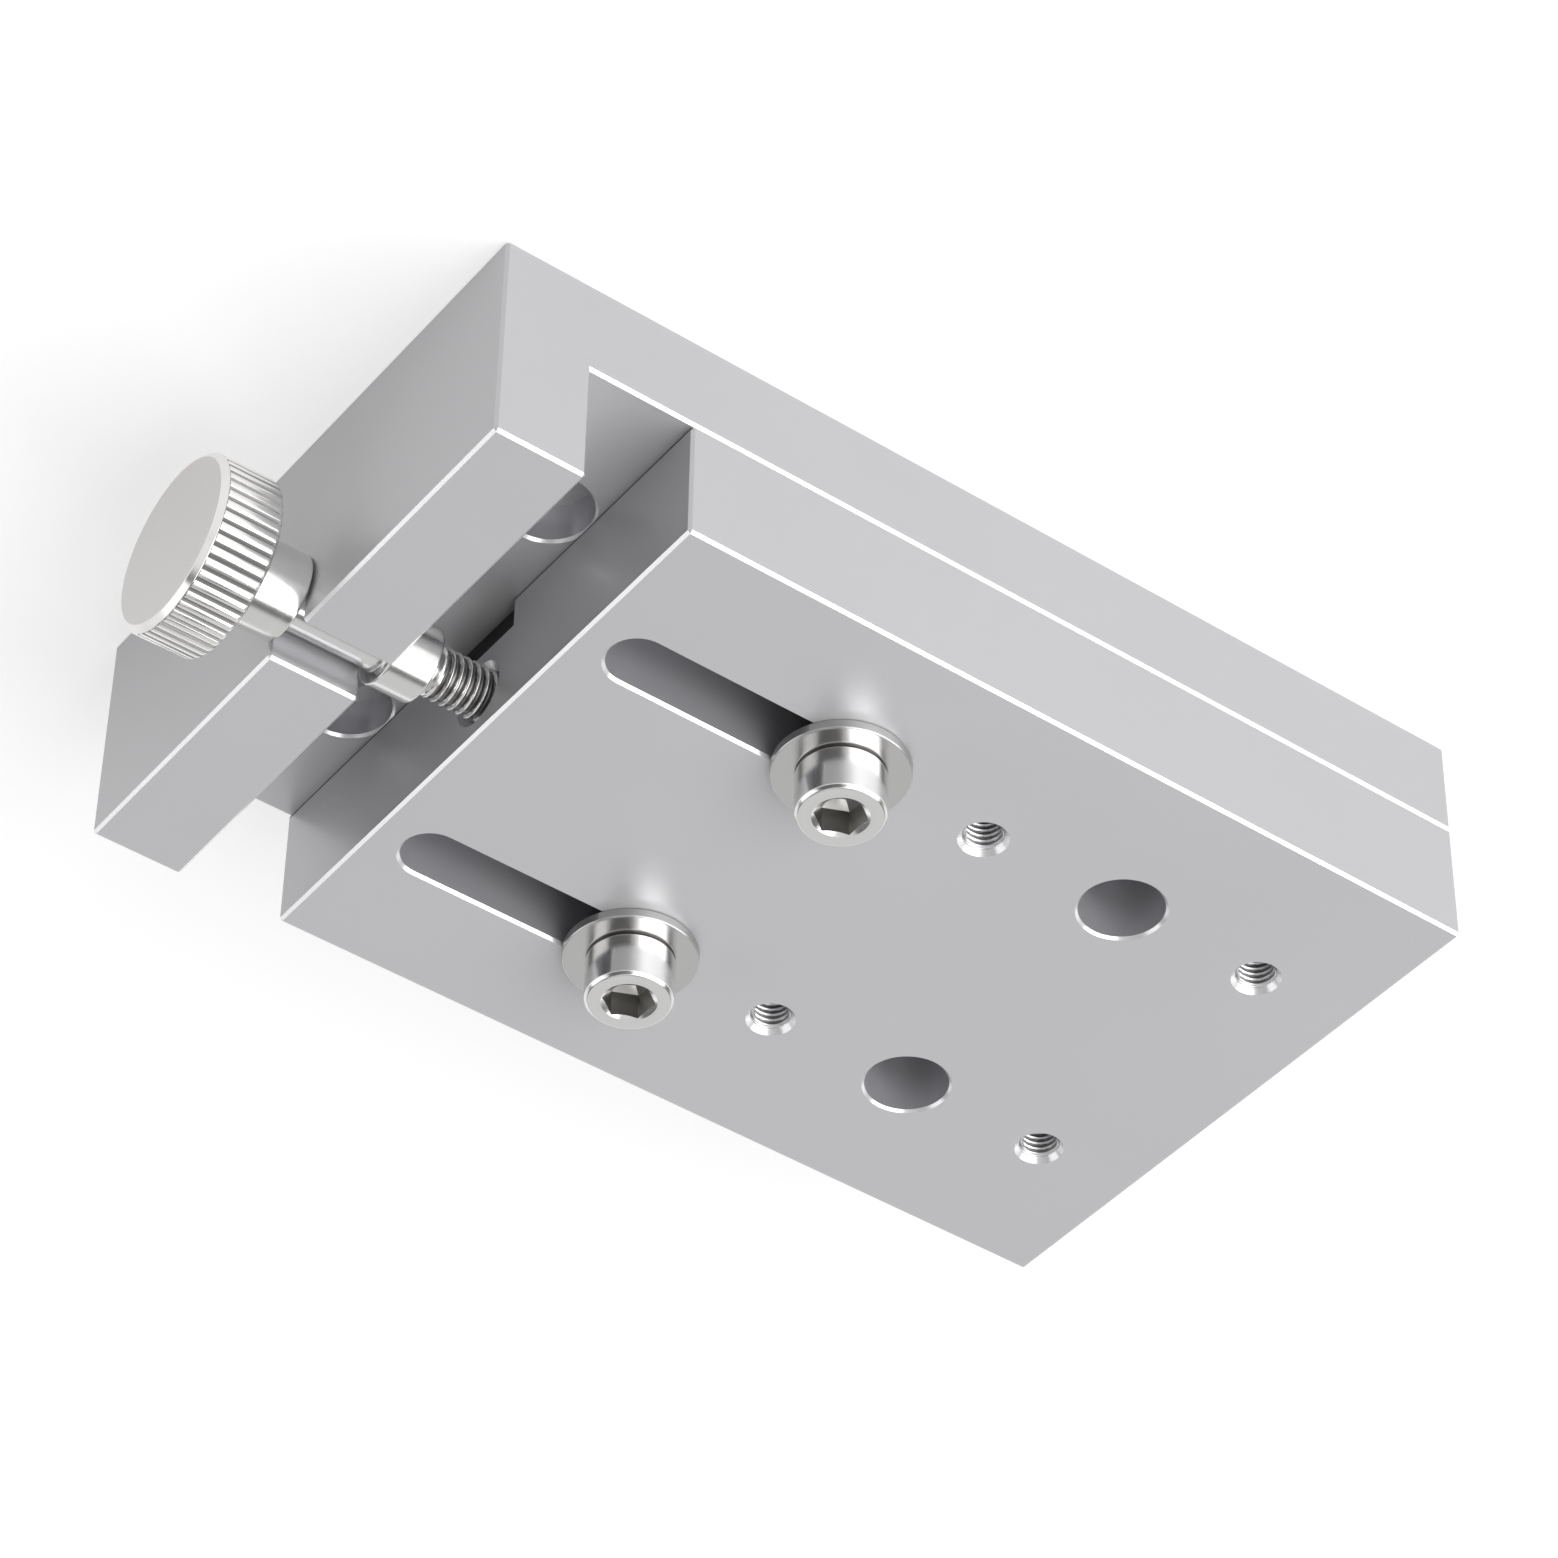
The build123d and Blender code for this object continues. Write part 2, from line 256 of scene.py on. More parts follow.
def black_oxide():
    """Black oxide on steel: a dark, oily satin whose grain shows as a little grey."""
    material, nodes, links, metal = new_finish("black_oxide", 0.3)
    metal.inputs["Specular IOR Level"].default_value = 0.12
    scales = {"Grain Scale": 16000.0, "Cloud Scale": 300.0}
    grain = add_node(nodes, "ShaderNodeGroup", scales, node_tree=grain_group)
    colour, rough = blend_by_tone(
        nodes, links, grain.outputs["Tone"], (0.006, 0.006, 0.007), (0.024, 0.024, 0.027), 0.3, 0.5
    )
    links.new(colour, metal.inputs["Base Color"])
    links.new(rough, metal.inputs["Roughness"])
    raise_marks(nodes, links, grain.outputs["Height"], metal, 0.2, grain_height)
    return material


key_steel = black_oxide()
for node in ("guide_key", "guide_key_screw_1", "guide_key_screw_2", "guide_key_screw_3"):
    finish_node(node, key_steel)

# Table: the moving plate, of the same blasted and anodised aluminium as the base. Its four M3
# holes are tapped right through into bare aluminium, and painted shade darkens their roots.
table_near_end, table_bottom, table_top = -22.0, 8.02, 18.0
work_holes = ((12.5, 12.5), (37.5, 12.5), (12.5, -12.5), (37.5, -12.5))
tap_radius, tap_minor_radius, tap_pitch = 1.5, 1.25, 0.5
tap_mouth_depth = 0.40
tap_overlap, tap_run_out, tap_gap = 0.02, 0.18, 0.008


def ring_surface(name, along, radius, centre, axis, inside=False, turns=None):
    """A surface round an axis: the point in row i and column j stands at
    centre + along(i, j) * axis + radius(i, j) * (cos a * side + sin a * up), where a is
    turns(j) full turns, from 0 to 1 in even steps unless they are given. The last column lies
    on the first and a row of radius 0 is a pole, so both are merged. UV is (turns, millimetres
    walked along the rows).
    """
    rows, columns = along.shape
    axis = np.array(axis, float)
    side = np.array((0.0, 1.0, 0.0)) if abs(axis[0]) > 0.5 else np.array((1.0, 0.0, 0.0))
    up = np.cross(axis, side)
    turn = np.broadcast_to(np.linspace(0, 1, columns) if turns is None else turns, along.shape)
    angle = 2 * np.pi * turn
    outward = np.cos(angle)[..., None] * side + np.sin(angle)[..., None] * up
    points = np.array(centre) + along[..., None] * axis + radius[..., None] * outward
    first = (np.arange(rows - 1)[:, None] * columns + np.arange(columns - 1)).ravel()
    quads = np.stack((first, first + 1, first + columns + 1, first + columns), axis=1)
    mesh = bpy.data.meshes.new(name)
    mesh.from_pydata((points.reshape(-1, 3) * mm).tolist(), [], quads.tolist())
    steps = np.hypot(np.diff(along, axis=0), np.diff(radius, axis=0))
    walked = np.vstack((np.zeros((1, columns)), np.cumsum(steps, axis=0)))
    flat = np.stack((turn, np.broadcast_to(walked.mean(axis=1)[:, None], along.shape)), axis=-1)
    mesh.uv_layers.new(name="turned")
    mesh.uv_layers["turned"].data.foreach_set("uv", flat.reshape(-1, 2)[quads.ravel()].ravel())
    shell = bmesh.new()
    shell.from_mesh(mesh)
    bmesh.ops.remove_doubles(shell, verts=shell.verts, dist=1e-7)
    bmesh.ops.recalc_face_normals(shell, faces=shell.faces)
    if inside:
        bmesh.ops.reverse_faces(shell, faces=shell.faces)
    shell.to_mesh(mesh)
    shell.free()
    mesh.polygons.foreach_set("use_smooth", np.ones(len(mesh.polygons), bool))
    piece = bpy.data.objects.new(name, mesh)
    bpy.context.scene.collection.objects.link(piece)
    return piece


def thread_form(along, turn, pitch):
    """How deep a V thread is cut, from 0 on its crest to 1 in its root.

    The phase along / pitch - turn runs from 0 to 1 in each thread. A triangle wave of it is
    cut off over an eighth of the pitch at the crest and a quarter at the root.
    """
    crest_flat, root_flat = 0.125, 0.25
    phase = np.mod(along / pitch - turn, 1.0)
    wave = 1 - np.abs(2 * phase - 1)
    return np.clip((wave - crest_flat) / (1 - crest_flat - root_flat), 0, 1)


def ramp(value, start, end):
    """0 before start, 1 after end, and a smooth S between them."""
    t = np.clip((value - start) / (end - start), 0, 1)
    return t * t * (3 - 2 * t)


def tapped_wall(name, x, y):
    """An M3 thread in a hole of the table: minor radius on its crests, major radius in its roots.

    As a share of the thread's depth, it stands in from the major radius by 1 less thread_form,
    times a ramp that lets the thread run out at the countersink.
    """
    rows, columns = 300, 97
    top = table_top - tap_mouth_depth + tap_overlap
    levels = np.linspace(table_bottom + tap_overlap, top, rows)
    along = np.repeat(levels[:, None], columns, axis=1)
    height = 1 - thread_form(along, np.linspace(0, 1, columns), tap_pitch)
    open_end = ramp(along, top, top - tap_run_out)
    radius = tap_radius - tap_gap - (tap_radius - tap_minor_radius) * height * open_end
    wall = ring_surface(name, along, radius, (x, y, 0), (0, 0, 1), inside=True)
    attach(wall, "table")
    return wall


def grainy_metal(name, dark, light, sharpest, bluntest, scales, metallic=1.0):
    """Metal as a tap, a rolling die or a punch leaves it: grainy, and duller in patches than a
    face from the lathe. Its metallic can be set lower, for the dark copies that paint shade into
    thread roots and knurl grooves.
    """
    material, nodes, links, metal = new_finish(name, metallic)
    grain = add_node(nodes, "ShaderNodeGroup", scales, node_tree=grain_group)
    colour, rough = blend_by_tone(
        nodes, links, grain.outputs["Tone"], dark, light, sharpest, bluntest
    )
    links.new(colour, metal.inputs["Base Color"])
    links.new(rough, metal.inputs["Roughness"])
    return material


def face_middles(piece):
    """The middle of each face of a piece, in millimetres, as rows of x, of y and of z."""
    middles = np.empty(len(piece.data.polygons) * 3)
    piece.data.polygons.foreach_get("center", middles)
    return middles.reshape(-1, 3).T / mm


def line_faces(piece, number, materials):
    """Gives a piece its materials, and each of its faces the one with the face's number."""
    for material in materials:
        piece.data.materials.append(material)
    piece.data.polygons.foreach_set("material_index", number.astype(np.int32))


def tapped_roots(wall, hole_x, hole_y):
    """1 for the faces that lie deeper than half of the thread, below its run-out."""
    x, y, z = face_middles(wall)
    deep = np.hypot(x - hole_x, y - hole_y) > (tap_radius + tap_minor_radius) / 2
    return deep & (z < table_top - tap_mouth_depth - 0.1)


table_holes_box = (table_near_end + 0.3, plate_end - 0.3, plate_side - 0.4, table_top - 0.15)
# Painted shade: a thin dark line along the lower edge of the table's near end, for the shadow
# gap where the table meets the base.
seam_shade_box = (table_near_end - 0.1, table_near_end + 0.1, plate_side + 0.1, base_top + 0.38)
seam_shade_colour, seam_shade_rough = (0.10, 0.10, 0.105), 0.45
table_aluminium = satin_aluminium(
    "table_aluminium",
    ((table_holes_box, bored_colour, bored_rough), (seam_shade_box, seam_shade_colour, seam_shade_rough)),
)
finish_node("table_plate", table_aluminium)
tapped_scales = {"Grain Scale": 9000.0, "Cloud Scale": 900.0}
tapped_thread = grainy_metal(
    "tapped_thread", (0.66, 0.66, 0.67), (0.82, 0.82, 0.83), 0.30, 0.40, tapped_scales
)
# Painted shade: a dark, less metallic aluminium for the thread roots, where shade falls deep in
# the thread.
tapped_root_shade = grainy_metal(
    "tapped_root_shade", (0.24, 0.24, 0.243), (0.32, 0.32, 0.323), 0.30, 0.40, tapped_scales, 0.6
)
for number, (x, y) in enumerate(work_holes, start=1):
    wall = tapped_wall(f"work_thread_{number}", x, y)
    line_faces(wall, tapped_roots(wall, x, y), (tapped_thread, tapped_root_shade))

# Feed screw: turned from stainless bar in one piece. A shoulder and a collar run on the two
# sides of the leg, a neck turns in its slot, and an M4 x 0.7 thread draws the table.
screw_height = 14.25
screw_pitch, screw_crest_radius, screw_thread_depth = 0.7, 1.96, 0.40
spigot_length, spigot_radius = 3.8, 2.5
shoulder_start, shoulder_end, shoulder_radius = -42.1, -37.65, 3.25
neck_radius = 1.975
collar_start, collar_end, collar_radius = -30.0, -26.7, 2.9
relief_end, relief_radius, relief_length = -25.6, 1.62, 0.45
lead_radius, lead_distance = 1.9, 0.8
screw_end, tip_length, tip_radius = 2.5, 0.3, 1.55
screw_break = 0.16
steel_scales = {"Grain Scale": 5000.0, "Cloud Scale": 800.0}


def turning_marks():
    """Group: the fine rings that a lathe tool leaves, as a one-way noise along the profile.

    It reads the second coordinate of the piece's own UV map, the way walked along its profile
    in millimetres. Height has the rings alone, Tone has them with slow changes between them.
    """
    inputs = {"Rings per mm": 14.0}
    group, nodes, links = new_group("turning_marks", inputs, ("Height", "Tone"))
    source = nodes.new("NodeGroupInput")
    result = nodes.new("NodeGroupOutput")
    place = add_node(nodes, "ShaderNodeUVMap", uv_map="turned")
    split = nodes.new("ShaderNodeSeparateXYZ")
    ring_look = {"Detail": 3.0, "Roughness": 0.65}
    rings = add_node(nodes, "ShaderNodeTexNoise", ring_look, noise_dimensions="1D")
    band_look = {"Scale": 1.3, "Detail": 1.0}
    bands = add_node(nodes, "ShaderNodeTexNoise", band_look, noise_dimensions="1D")
    blend = add_node(nodes, "ShaderNodeMix", {"Factor": 0.5})
    links.new(place.outputs["UV"], split.inputs["Vector"])
    links.new(split.outputs["Y"], rings.inputs["W"])
    links.new(split.outputs["Y"], bands.inputs["W"])
    links.new(source.outputs["Rings per mm"], rings.inputs["Scale"])
    links.new(rings.outputs["Fac"], blend.inputs["A"])
    links.new(bands.outputs["Fac"], blend.inputs["B"])
    links.new(rings.outputs["Fac"], result.inputs["Height"])
    links.new(blend.outputs["Result"], result.inputs["Tone"])
    return group


ring_group = turning_marks()


def turned_steel(name, dark, light, rings, sharpest, bluntest, strength):
    """Stainless steel from the lathe: bright, with rings that vary its tone, gloss and height."""
    material, nodes, links, metal = new_finish(name, 1.0)
    marks = add_node(nodes, "ShaderNodeGroup", {"Rings per mm": rings}, node_tree=ring_group)
    colour, rough = blend_by_tone(
        nodes, links, marks.outputs["Tone"], dark, light, sharpest, bluntest
    )
    links.new(colour, metal.inputs["Base Color"])
    links.new(rough, metal.inputs["Roughness"])
    ring_height = 0.004 * mm
    raise_marks(nodes, links, marks.outputs["Height"], metal, strength, ring_height)
    return material


def eased(corners, radius):
    """A profile whose corners are rounded: each one becomes the parabola
    (1 - t)^2 a + 2 t (1 - t) corner + t^2 b between the points a and b that lie `radius` from it
    on its two sides, or nearer where a side is short. A further point beyond a and b keeps the
    straight parts straight.
    """
    arc_points = 5
    corners = np.array(corners, float)
    before = corners[:-2] - corners[1:-1]
    after = corners[2:] - corners[1:-1]
    way_back = np.linalg.norm(before, axis=1, keepdims=True)
    way_on = np.linalg.norm(after, axis=1, keepdims=True)
    reach = np.minimum(radius, 0.3 * np.minimum(way_back, way_on))
    start = corners[1:-1] + reach * before / way_back
    end = corners[1:-1] + reach * after / way_on
    t = np.linspace(0, 1, arc_points)[None, :, None]
    middle = corners[1:-1][:, None]
    arc = (1 - t) ** 2 * start[:, None] + 2 * t * (1 - t) * middle + t**2 * end[:, None]
    lead_in = (corners[1:-1] + 1.5 * reach * before / way_back)[:, None]
    lead_out = (corners[1:-1] + 1.5 * reach * after / way_on)[:, None]
    bends = np.concatenate((lead_in, arc, lead_out), axis=1).reshape(-1, 2)
    return np.vstack((corners[:1], bends, corners[-1:]))


def turned_grid(profile, columns):
    """A profile repeated in every column: how far along the axis and how far out it stands."""
    along = np.repeat(profile[:, :1], columns, axis=1)
    radius = np.repeat(profile[:, 1:], columns, axis=1)
    return along, radius


def threaded_rows(start, end, step):
    """The rows of a profile on which a thread is cut, all at the crest's radius."""
    along = np.arange(start, end, step)
    return np.stack((along, np.full_like(along, screw_crest_radius)), axis=1)


def feed_screw_surface():
    """The turned profile, with the thread cut into its last part by thread_form.

    The thread's rows are a twentieth of its pitch apart, and it fades in behind the relief and
    out at the chamfered tip. A pole stays on the axis.
    """
    body = eased(
        (
            (shoulder_start - spigot_length, 0), (shoulder_start - spigot_length, spigot_radius),
            (shoulder_start, spigot_radius), (shoulder_start, shoulder_radius),
            (shoulder_end, shoulder_radius), (shoulder_end, neck_radius),
            (collar_start, neck_radius), (collar_start, collar_radius),
            (collar_end, collar_radius), (collar_end, relief_radius),
            (collar_end + relief_length, relief_radius), (collar_end + lead_distance, lead_radius),
            (relief_end, lead_radius),
        ),
        screw_break,
    )
    shank = threaded_rows(relief_end + 0.02, screw_end - tip_length, screw_pitch / 20)
    tip = np.array(
        (
            (screw_end - tip_length, screw_crest_radius - 0.03),
            (screw_end - 0.02, tip_radius + 0.07), (screw_end, tip_radius), (screw_end, 0),
        )
    )
    columns = 97
    along, radius = turned_grid(np.vstack((body, shank, tip)), columns)
    fade_in = ramp(along, relief_end - 0.25, relief_end + 0.2)
    fade_out = ramp(along, screw_end + 0.1, screw_end - 0.25)
    form = thread_form(along, np.linspace(0, 1, columns), screw_pitch)
    radius = radius - screw_thread_depth * form * fade_in * fade_out * (radius > 0)
    return ring_surface("feed_screw_turned", along, radius, (0, 0, screw_height), (1, 0, 0))


def screw_roots(piece):
    """1 for the faces that lie deeper than half of the thread."""
    x, y, z = face_middles(piece)
    out = np.hypot(y, z - screw_height)
    return (x > relief_end - 0.2) & (out < screw_crest_radius - screw_thread_depth / 2)


bright_steel = turned_steel(
    "bright_steel_turned", (0.74, 0.735, 0.725), (0.82, 0.815, 0.805), 14.0, 0.17, 0.23, 0.04
)
# Painted shade: a dark steel for the feed screw's thread roots and the clamp heads' undersides and
# shanks, where the roots and the gap under a head fall into shade.
root_shade_steel = grainy_metal(
    "painted_root_shade", (0.17, 0.167, 0.164), (0.26, 0.256, 0.25), 0.28, 0.38, steel_scales
)
feed_screw = feed_screw_surface()
line_faces(feed_screw, screw_roots(feed_screw), (bright_steel, root_shade_steel))
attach(feed_screw, "drive")
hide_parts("feed_screw")

# Knob: turned stainless, pressed on the feed screw's end. 48 rounded ribs are rolled round it
# for the fingers, between a chamfered back edge and a bevelled rim, and its face is plain.
knob_inner, knob_outer, knob_face = -42.1, -46.5, -46.95
knob_bore_depth, knob_back_break = 3.9, 0.12
rim_radius, rim_length, rim_step, face_radius = 6.70, 0.05, 0.08, 6.25
rib_crest_radius, rib_root_radius = 6.75, 6.48
rib_count = 48
land_half_width, land_edge = 0.33, 0.74
# Where the ribs round off, at the knob's back and at its rim: the way in from there and the
# drop below their crests.
rib_back_ends = ((0.13, 0.20), (0.19, 0.11), (0.28, 0.04), (0.42, 0.0))
rib_rim_ends = ((0.10, 0.0), (0.03, 0.03))


def crisp_shading():
    """A shading step that smooths faces but breaks at edges that bend by more than half a
    radian.
    """
    group = bpy.data.node_groups.new("crisp_edges", "GeometryNodeTree")
    group.is_modifier = True
    for way in ("INPUT", "OUTPUT"):
        group.interface.new_socket("Geometry", in_out=way, socket_type="NodeSocketGeometry")
    nodes, links = group.nodes, group.links
    source = nodes.new("NodeGroupInput")
    result = nodes.new("NodeGroupOutput")
    bend = nodes.new("GeometryNodeInputMeshEdgeAngle")
    limit = add_node(nodes, "FunctionNodeCompare", {"B": 0.5}, operation="LESS_THAN")
    shade = add_node(nodes, "GeometryNodeSetShadeSmooth", domain="EDGE")
    links.new(source.outputs["Geometry"], shade.inputs["Geometry"])
    links.new(bend.outputs["Unsigned Angle"], limit.inputs["A"])
    links.new(limit.outputs["Result"], shade.inputs["Shade Smooth"])
    links.new(shade.outputs["Geometry"], result.inputs["Geometry"])
    return group


crisp_group = crisp_shading()


def crisp_edges(piece):
    """Gives a piece the crisp shading, as a modifier."""
    modifier = piece.modifiers.new("crisp_edges", "NODES")
    modifier.node_group = crisp_group


def knurled_surface():
    """The knob's profile with ribs: round the knurled band a rib's height falls from 1 at its
    middle to 0.74 at the edges of its land, as the square of the way out, and from there evenly
    to 0 halfway between two ribs. The radius is the root's plus the height times the crest's
    excess over it.
    """
    rib_places = np.linspace(-0.5, 0.5, 17)[:-1]
    on_land = 1 - (1 - land_edge) * (rib_places / land_half_width) ** 2
    on_flank = land_edge * (0.5 - np.abs(rib_places)) / (0.5 - land_half_width)
    rib_height = np.where(np.abs(rib_places) < land_half_width, on_land, on_flank)
    turns = ((np.arange(rib_count)[:, None] + 0.5 + rib_places) / rib_count).ravel()
    turns = np.append(turns, 1.0)
    rib = np.append(np.tile(rib_height, rib_count), 0.0)
    back = eased(
        (
            (knob_inner - knob_bore_depth, 0), (knob_inner - knob_bore_depth, spigot_radius),
            (knob_inner, spigot_radius), (knob_inner, rib_root_radius - knob_back_break),
            (knob_inner - knob_back_break, rib_root_radius),
        ),
        radius=0.05,
    )
    band = np.array(
        (
            *((knob_inner - way, rib_crest_radius - drop) for way, drop in rib_back_ends),
            ((knob_inner + knob_outer) / 2, rib_crest_radius),
            *((knob_outer + way, rib_crest_radius - drop) for way, drop in rib_rim_ends),
        )
    )
    front = eased(
        (
            (knob_outer + 0.02, rim_radius - rim_step), (knob_outer, rim_radius),
            (knob_outer - rim_length, rim_radius), (knob_face, face_radius), (knob_face, 0),
        ),
        radius=0.07,
    )
    profile = np.vstack((back, band, front))
    ribbed = np.zeros((len(profile), 1), bool)
    ribbed[len(back):len(back) + len(band)] = True
    along, plain = turned_grid(profile, len(turns))
    grooved = rib_root_radius + (plain - rib_root_radius) * rib
    radius = np.where(ribbed, grooved, plain)
    return ring_surface(
        "knurled_knob_turned", along, radius, (0, 0, screw_height), (1, 0, 0), turns=turns
    )


def plain_face():
    """Group: Mask is 1 on faces square to the knob's axis, and 0 on its bevel and ribs.

    It rises as the part of the face's normal away from the stage goes from 0.90 to 0.99.
    """
    group, nodes, links = new_group("plain_face", {}, ("Mask",))
    result = nodes.new("NodeGroupOutput")
    face = nodes.new("ShaderNodeNewGeometry")
    split = nodes.new("ShaderNodeSeparateXYZ")
    away = add_node(nodes, "ShaderNodeMath", {1: -1.0}, operation="MULTIPLY")
    rise = add_node(nodes, "ShaderNodeMapRange", {"From Min": 0.90, "From Max": 0.99})
    links.new(face.outputs["Normal"], split.inputs["Vector"])
    links.new(split.outputs["X"], away.inputs[0])
    links.new(away.outputs["Value"], rise.inputs["Value"])
    links.new(rise.outputs["Result"], result.inputs["Mask"])
    return group


face_group = plain_face()


def knob_finish():
    """Stainless steel: a fine satin face, cut with a worn tool, and a sharper bevel."""
    material = turned_steel(
        "knob_steel_turned", (0.74, 0.73, 0.715), (0.78, 0.77, 0.755), 9.0, 0.12, 0.16, 0.02
    )
    nodes, links = material.node_tree.nodes, material.node_tree.links
    metal = nodes["Principled BSDF"]
    face = add_node(nodes, "ShaderNodeGroup", node_tree=face_group)
    satin = (("Base Color", "RGBA", (0.57, 0.558, 0.545, 1)), ("Roughness", "FLOAT", 0.34))
    for socket, kind, value in satin:
        sharp = metal.inputs[socket].links[0].from_socket
        blend = change_where(nodes, links, face.outputs["Mask"], sharp, kind, value)
        links.new(blend, metal.inputs[socket])
    return material


def band_parts(piece):
    """1 for the knurled band's lands, and 2 for its grooves, which are the faces beyond a
    land's half width from a rib's middle.
    """
    x, y, z = face_middles(piece)
    turn = np.arctan2(z - screw_height, y) / (2 * np.pi)
    off_rib = np.abs(np.mod(turn * rib_count, 1.0) - 0.5)
    band = (x > knob_outer) & (x < knob_inner - rib_back_ends[0][0])
    return band * (1 + (off_rib > land_half_width))


knob_steel = knob_finish()
land_steel = turned_steel(
    "knurl_land", (0.86, 0.85, 0.84), (0.91, 0.90, 0.89), 6.0, 0.21, 0.27, 0.02
)
# Painted shade: the grooves' dark, less metallic steel stands for the shade down between the ribs.
groove_shade_steel = grainy_metal(
    "knurl_groove_shade", (0.25, 0.248, 0.245), (0.33, 0.327, 0.322), 0.42, 0.52, steel_scales, 0.35
)
knob = knurled_surface()
line_faces(knob, band_parts(knob), (knob_steel, land_steel, groove_shade_steel))
crisp_edges(knob)
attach(knob, "drive")
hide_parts("knurled_knob")

# Clamp washers: two flat M4 washers of polished stainless, one over each slot, with edges
# tumbled round and a duller, blanked rim.
clamp_side = {"left": 12.5, "right": -12.5}
washer_thickness, washer_radius, washer_bore_radius, washer_break = 0.8, 4.95, 2.15, 0.13
seat_gap = 0.002


def washer_surface(side):
    """A closed ring profile with rounded corners, which starts and ends on the washer's
    underside, turned round the clamp screw's axis.
    """
    low, high = table_top + seat_gap, table_top + washer_thickness
    seam = 3.2
    corners = (
        (low, seam), (low, washer_radius), (high, washer_radius),
        (high, washer_bore_radius), (low, washer_bore_radius), (low, seam),
    )
    along, radius = turned_grid(eased(corners, washer_break), columns=129)
    centre = (0, clamp_side[side], 0)
    return ring_surface(f"clamp_washer_{side}_turned", along, radius, centre, (0, 0, 1))


def blanked_faces(piece, side):
    """1 for the washer's rim, below its rounded upper corner, and for its underside."""
    x, y, z = face_middles(piece)
    out = np.hypot(x, y - clamp_side[side])
    rim = (out > washer_radius - 0.02) & (z < table_top + washer_thickness - 0.12)
    return rim | (z < table_top + 0.05)


washer_steel = turned_steel(
    "washer_steel_polished", (0.58, 0.575, 0.57), (0.64, 0.635, 0.63), 10.0, 0.18, 0.22, 0.03
)
rim_steel = grainy_metal(
    "washer_rim", (0.46, 0.455, 0.45), (0.56, 0.555, 0.55), 0.32, 0.42, steel_scales
)
for side in clamp_side:
    washer = washer_surface(side)
    line_faces(washer, blanked_faces(washer, side), (washer_steel, rim_steel))
    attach(washer, f"washer_{side}")
    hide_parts(f"clamp_washer_{side}")

# Clamp screws: two M4 x 16 socket head screws of polished stainless, which hold the table
# through its slots. Each has a hexagon socket with a countersunk mouth.
head_radius, head_height, head_break = 3.25, 3.85, 0.25
socket_flats, socket_depth, socket_mouth_radius, socket_mouth_depth = 3.4, 2.2, 2.05, 0.2
hexagon_back, drill_slope = 6.0, 28.0
head_seat = table_top + washer_thickness
head_top = head_seat + head_height
clamp_tip = head_seat - 16.0
clamp_tip_radius, clamp_tip_bevel = 1.7, 0.24
clamp_thread_end = table_top - 1.0


def clamp_screw_surface(side):
    """Shank, head and socket in one surface round the screw's axis.

    The shank is cut by thread_form, on rows a fourteenth of the pitch apart. The socket's wall
    has the hexagon's radius, half the flats over cos(a), where a is the angle from the middle of
    the nearest flat. The countersink's radius falls evenly from the mouth's by slope times the
    depth, so it meets the wall at the depth (mouth - hexagon) / slope, which rises to each
    corner. The floor is a drill's cone. The middle of one flat stands 6 degrees back from the
    x axis, and the columns are 3 degrees apart.
    """
    columns = 121
    turn = np.linspace(0, 1, columns)
    bottom = head_seat + seat_gap
    tip = np.array(
        (
            (clamp_tip, 0), (clamp_tip, clamp_tip_radius),
            (clamp_tip + 0.02, clamp_tip_radius + 0.04),
            (clamp_tip + clamp_tip_bevel, screw_crest_radius - 0.01),
        )
    )
    shank_start = clamp_tip + clamp_tip_bevel + 0.02
    shank = threaded_rows(shank_start, clamp_thread_end, screw_pitch / 14)
    head = eased(
        (
            (clamp_thread_end + 0.1, screw_crest_radius), (bottom, screw_crest_radius),
            (bottom, head_radius - 0.24), (bottom + 0.2, head_radius),
            (head_top - head_break, head_radius), (head_top, head_radius - head_break),
            (head_top, socket_mouth_radius + 0.02),
        ),
        radius=0.08,
    )
    outer_along, outer_radius = turned_grid(np.vstack((tip, shank, head)), columns)
    fade_in = ramp(outer_along, clamp_tip - 0.1, clamp_tip + 0.3)
    fade_out = ramp(outer_along, clamp_thread_end - 0.2, clamp_thread_end - 1.0)
    form = thread_form(outer_along, turn, screw_pitch)
    cut = screw_thread_depth * form * fade_in * fade_out * (outer_radius > 0)
    flat_angle = (np.mod(turn * 6 + 0.5 + hexagon_back / 60, 1.0) - 0.5) * math.pi / 3
    hexagon = socket_flats / 2 / np.cos(flat_angle)
    slope = (socket_mouth_radius - socket_flats / 2) / socket_mouth_depth
    meeting = (socket_mouth_radius - hexagon) / slope
    sunk = np.linspace(0.0, 1, 6)[:, None]
    mouth_radius = socket_mouth_radius + (hexagon - socket_mouth_radius) * sunk
    mouth_depth = meeting * sunk
    down = np.array((0.02, 0.25, 0.5, 0.75, 0.98, 1.0))[:, None]
    wall_depth = meeting + (socket_depth - meeting) * down
    wall_radius = np.broadcast_to(hexagon, wall_depth.shape)
    share = np.array((0.98, 0.8, 0.6, 0.4, 0.2, 0.0))[:, None]
    floor_radius = share * hexagon
    floor_depth = socket_depth + (hexagon - floor_radius) * math.tan(math.radians(drill_slope))
    depth = np.vstack((mouth_depth, wall_depth, floor_depth))
    along = np.vstack((outer_along, head_top - depth))
    radius = np.vstack((outer_radius - cut, mouth_radius, wall_radius, floor_radius))
    centre = (0, clamp_side[side], 0)
    return ring_surface(f"clamp_screw_{side}_turned", along, radius, centre, (0, 0, 1))


